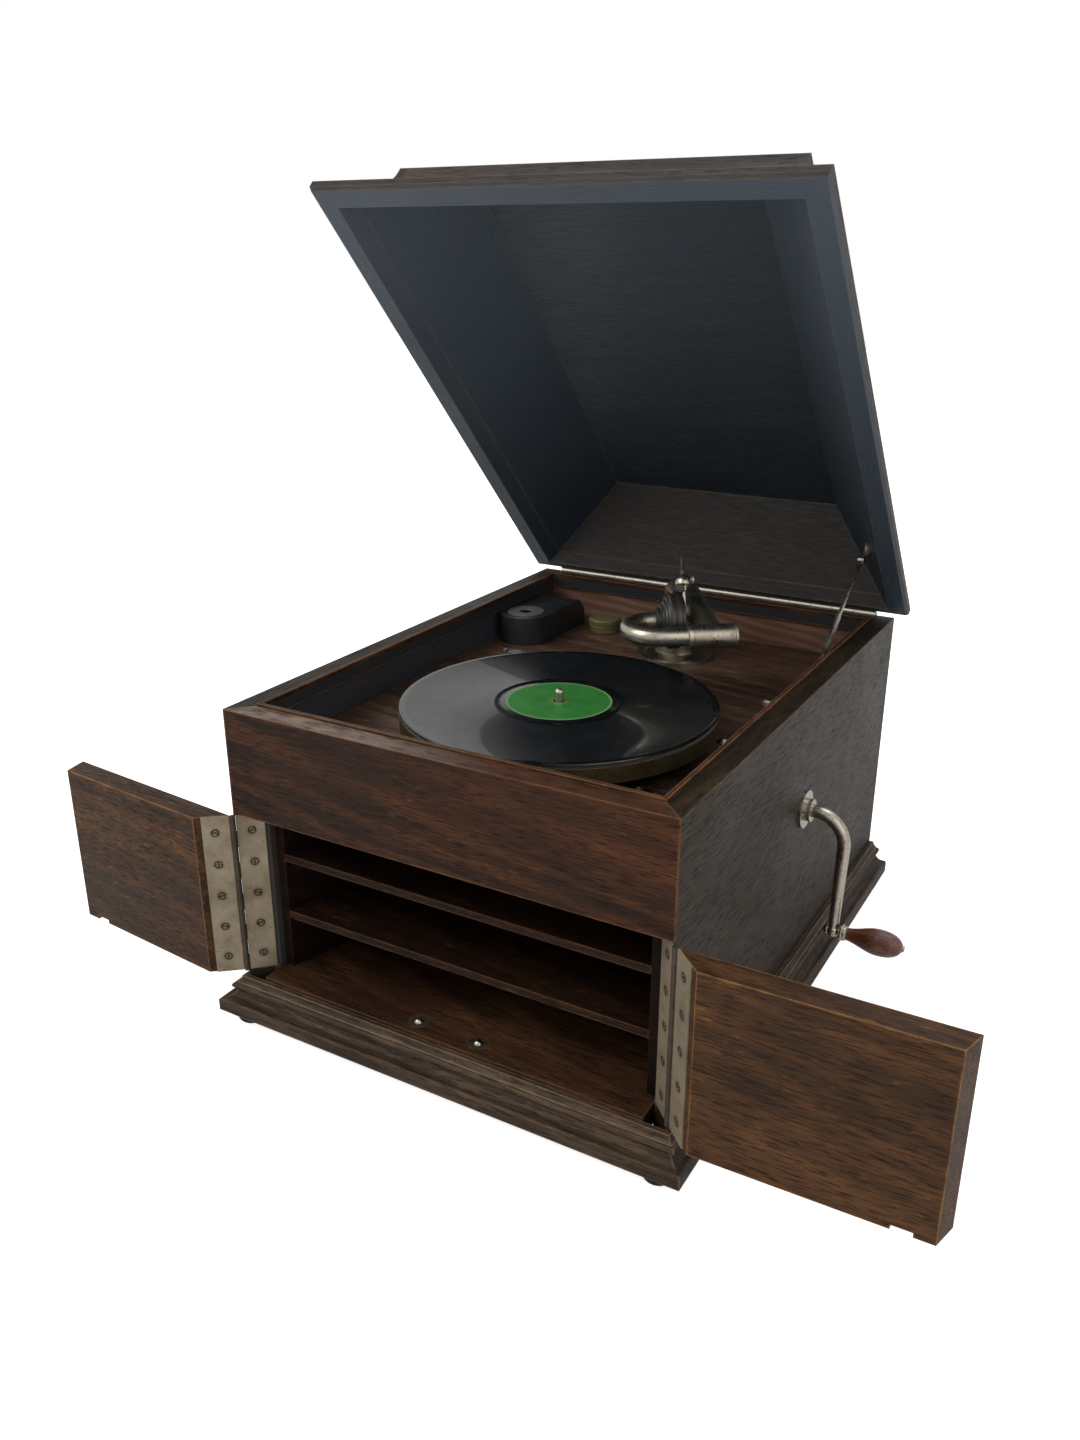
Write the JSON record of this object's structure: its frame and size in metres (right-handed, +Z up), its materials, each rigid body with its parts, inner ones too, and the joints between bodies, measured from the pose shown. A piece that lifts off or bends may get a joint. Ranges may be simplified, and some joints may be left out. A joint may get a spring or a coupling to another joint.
{
  "type": "table gramophone",
  "caption": "Table gramophone: a wooden cabinet with a hinged lid, two doors over a slatted horn mouth, turntable, throw-back tonearm, crank and spring motor.",
  "frame": {"origin": "on the floor, at the centre of the box's footprint", "axes": "+X to the crank side, +Y to the back, +Z up"},
  "size_m": [0.7609, 0.5499, 0.6617],
  "materials": {
    "side_oak": "worn fumed oak, open grain",
    "front_oak": "worn fumed oak, redder",
    "door_oak": "worn fumed oak",
    "moulding_oak": "dark fumed oak with worn edges",
    "lid_oak": "dark fumed oak with a dull polish",
    "deck_oak": "stained board",
    "horn_oak": "stained board",
    "nickel": "worn nickel plate",
    "hinge_steel": "warm worn plate",
    "dark_nickel": "tarnished nickel plate",
    "motor_steel": "oiled steel",
    "motor_brass": "dull brass",
    "horn_iron": "black japanned iron",
    "mat_cloth": "thin baize",
    "shellac": "grooved black shellac",
    "grip_wood": "polished grip",
    "box_black": "black japanned",
    "ring_grey": "worn grey paint",
    "tin_green": "worn tin plate",
    "label_paper": "green paper label with no text",
    "mica": "smoky mica sheet"
  },
  "bodies": {
    "cabinet": {"side_panel_left": "side_oak", "side_panel_right": "side_oak", "back_panel": "side_oak", "front_fascia": "front_oak", "base_moulding": "moulding_oak", "bun_feet": "moulding_oak", "rim_bead": "moulding_oak", "motor_board": "deck_oak", "board_cleats": "deck_oak", "base_board": "deck_oak", "horn_cheeks": "horn_oak", "horn_top_board": "horn_oak", "horn_slats": "horn_oak", "tonearm_base": "nickel", "crank_escutcheon": "nickel", "motor_bolts": "nickel", "stay_guide": "nickel", "cabinet_door_leaves": "hinge_steel", "door_hinge_pins": "hinge_steel", "catch_plates": "hinge_steel", "lid_leaf_cabinet": "hinge_steel", "lid_hinge_pin": "hinge_steel", "speed_plate": "dark_nickel", "motor_plate": "motor_steel", "motor_lower_plate": "motor_steel", "motor_pillars": "motor_steel", "horn_elbow": "horn_iron", "needle_box": "box_black", "needle_box_ring": "ring_grey", "needle_tin": "tin_green"},
    "lid": {"lid_rim": "lid_oak", "lid_cove": "lid_oak", "lid_panel": "lid_oak", "lid_leaf": "hinge_steel", "stay_bracket": "nickel"},
    "stay": {"lid_stay": "nickel"},
    "left_door": {"door_left": "door_oak", "door_leaf_left": "hinge_steel", "door_knob_left": "moulding_oak"},
    "right_door": {"door_right": "door_oak", "door_leaf_right": "hinge_steel", "door_knob_right": "moulding_oak"},
    "left_catch": {"catch_ball_left": "hinge_steel"},
    "right_catch": {"catch_ball_right": "hinge_steel"},
    "turntable": {"turntable_spindle": "nickel", "platter": "nickel", "platter_mat": "mat_cloth", "record": "shellac"},
    "tonearm": {"tonearm_tube": "nickel"},
    "soundbox_arm": {"gooseneck": "nickel", "sound_box": "dark_nickel", "needle": "nickel"},
    "crank": {"crank_rod": "nickel"},
    "grip": {"crank_grip": "grip_wood"},
    "brake": {"brake_lever": "nickel"},
    "speed_control": {"speed_lever": "nickel"},
    "barrel": {"spring_barrel": "motor_steel"},
    "winding_arbor": {"winding_gear": "motor_steel"},
    "intermediate": {"intermediate_wheel": "motor_brass"},
    "governor_shaft": {"governor": "motor_brass"}
  },
  "joints": [
    {"name": "lid_hinge", "type": "hinge", "parent": "cabinet", "child": "lid", "pos_m": [0, 0.2528, 0.276], "axis": [1, 0, 0], "range_deg": [0, 46.5]},
    {"name": "stay_pivot", "type": "hinge", "parent": "lid", "child": "stay", "pos_m": [0.1655, 0.20071, 0.33961], "axis": [1, 0, 0], "range_deg": [-77, 0]},
    {"name": "door_left_hinge", "type": "hinge", "parent": "cabinet", "child": "left_door", "pos_m": [-0.1907, -0.2507, 0.115], "axis": [0, 0, 1], "range_deg": [0, 185]},
    {"name": "door_right_hinge", "type": "hinge", "parent": "cabinet", "child": "right_door", "pos_m": [0.1907, -0.2507, 0.115], "axis": [0, 0, 1], "range_deg": [-181, 0]},
    {"name": "catch_left_slide", "type": "slide", "parent": "cabinet", "child": "left_catch", "axis": [0, 0, -1], "range_m": [0, 0.0026], "stiffness_N_per_m": 1500, "springref_m": -0.0006},
    {"name": "catch_right_slide", "type": "slide", "parent": "cabinet", "child": "right_catch", "axis": [0, 0, -1], "range_m": [0, 0.0026], "stiffness_N_per_m": 1500, "springref_m": -0.0006},
    {"name": "turntable_spin", "type": "hinge", "parent": "cabinet", "child": "turntable", "pos_m": [0.013, -0.087, 0.255], "axis": [0, 0, 1], "continuous": true},
    {"name": "intermediate_spin", "type": "hinge", "parent": "cabinet", "child": "intermediate", "pos_m": [0.03401, -0.05415, 0.19], "axis": [0, 0, 1], "continuous": true},
    {"name": "barrel_spin", "type": "hinge", "parent": "cabinet", "child": "barrel", "pos_m": [0.013, 0.01, 0.2], "axis": [0, 0, 1], "continuous": true},
    {"name": "governor_spin", "type": "hinge", "parent": "cabinet", "child": "governor_shaft", "pos_m": [0, -0.1074, 0.175], "axis": [1, 0, 0], "continuous": true},
    {"name": "crank_turning", "type": "hinge", "parent": "cabinet", "child": "crank", "pos_m": [0.19, 0.01, 0.175], "axis": [1, 0, 0], "continuous": true},
    {"name": "winding_arbor_spin", "type": "hinge", "parent": "cabinet", "child": "winding_arbor", "pos_m": [0.013, 0.01, 0.185], "axis": [0, 0, 1], "continuous": true},
    {"name": "grip_spin", "type": "hinge", "parent": "crank", "child": "grip", "pos_m": [0.256, -0.00035, 0.07654], "axis": [1, 0, 0], "continuous": true},
    {"name": "tonearm_swing", "type": "hinge", "parent": "cabinet", "child": "tonearm", "pos_m": [0.008, 0.154, 0.26], "axis": [0, 0, 1], "range_deg": [-19, 7]},
    {"name": "gooseneck_throwback", "type": "hinge", "parent": "tonearm", "child": "soundbox_arm", "pos_m": [0.09766, 0.02305, 0.305], "axis": [0.8251, 0.565, 0], "range_deg": [0, 170]},
    {"name": "brake_pivot", "type": "hinge", "parent": "cabinet", "child": "brake", "pos_m": [-0.096, 0.03, 0.25], "axis": [0, 0, 1], "range_deg": [-4.5, 0]},
    {"name": "speed_pivot", "type": "hinge", "parent": "cabinet", "child": "speed_control", "pos_m": [0.112, -0.147, 0.238], "axis": [0, 0, 1], "range_deg": [-15, 15]}
  ],
  "couplings": [
    {"joint": "stay_pivot", "follows": "lid_hinge", "ratio": -1.5325},
    {"joint": "intermediate_spin", "follows": "turntable_spin", "ratio": -0.3},
    {"joint": "barrel_spin", "follows": "turntable_spin", "ratio": 0.075},
    {"joint": "governor_spin", "follows": "turntable_spin", "ratio": 10},
    {"joint": "winding_arbor_spin", "follows": "crank_turning", "ratio": -0.5}
  ]
}
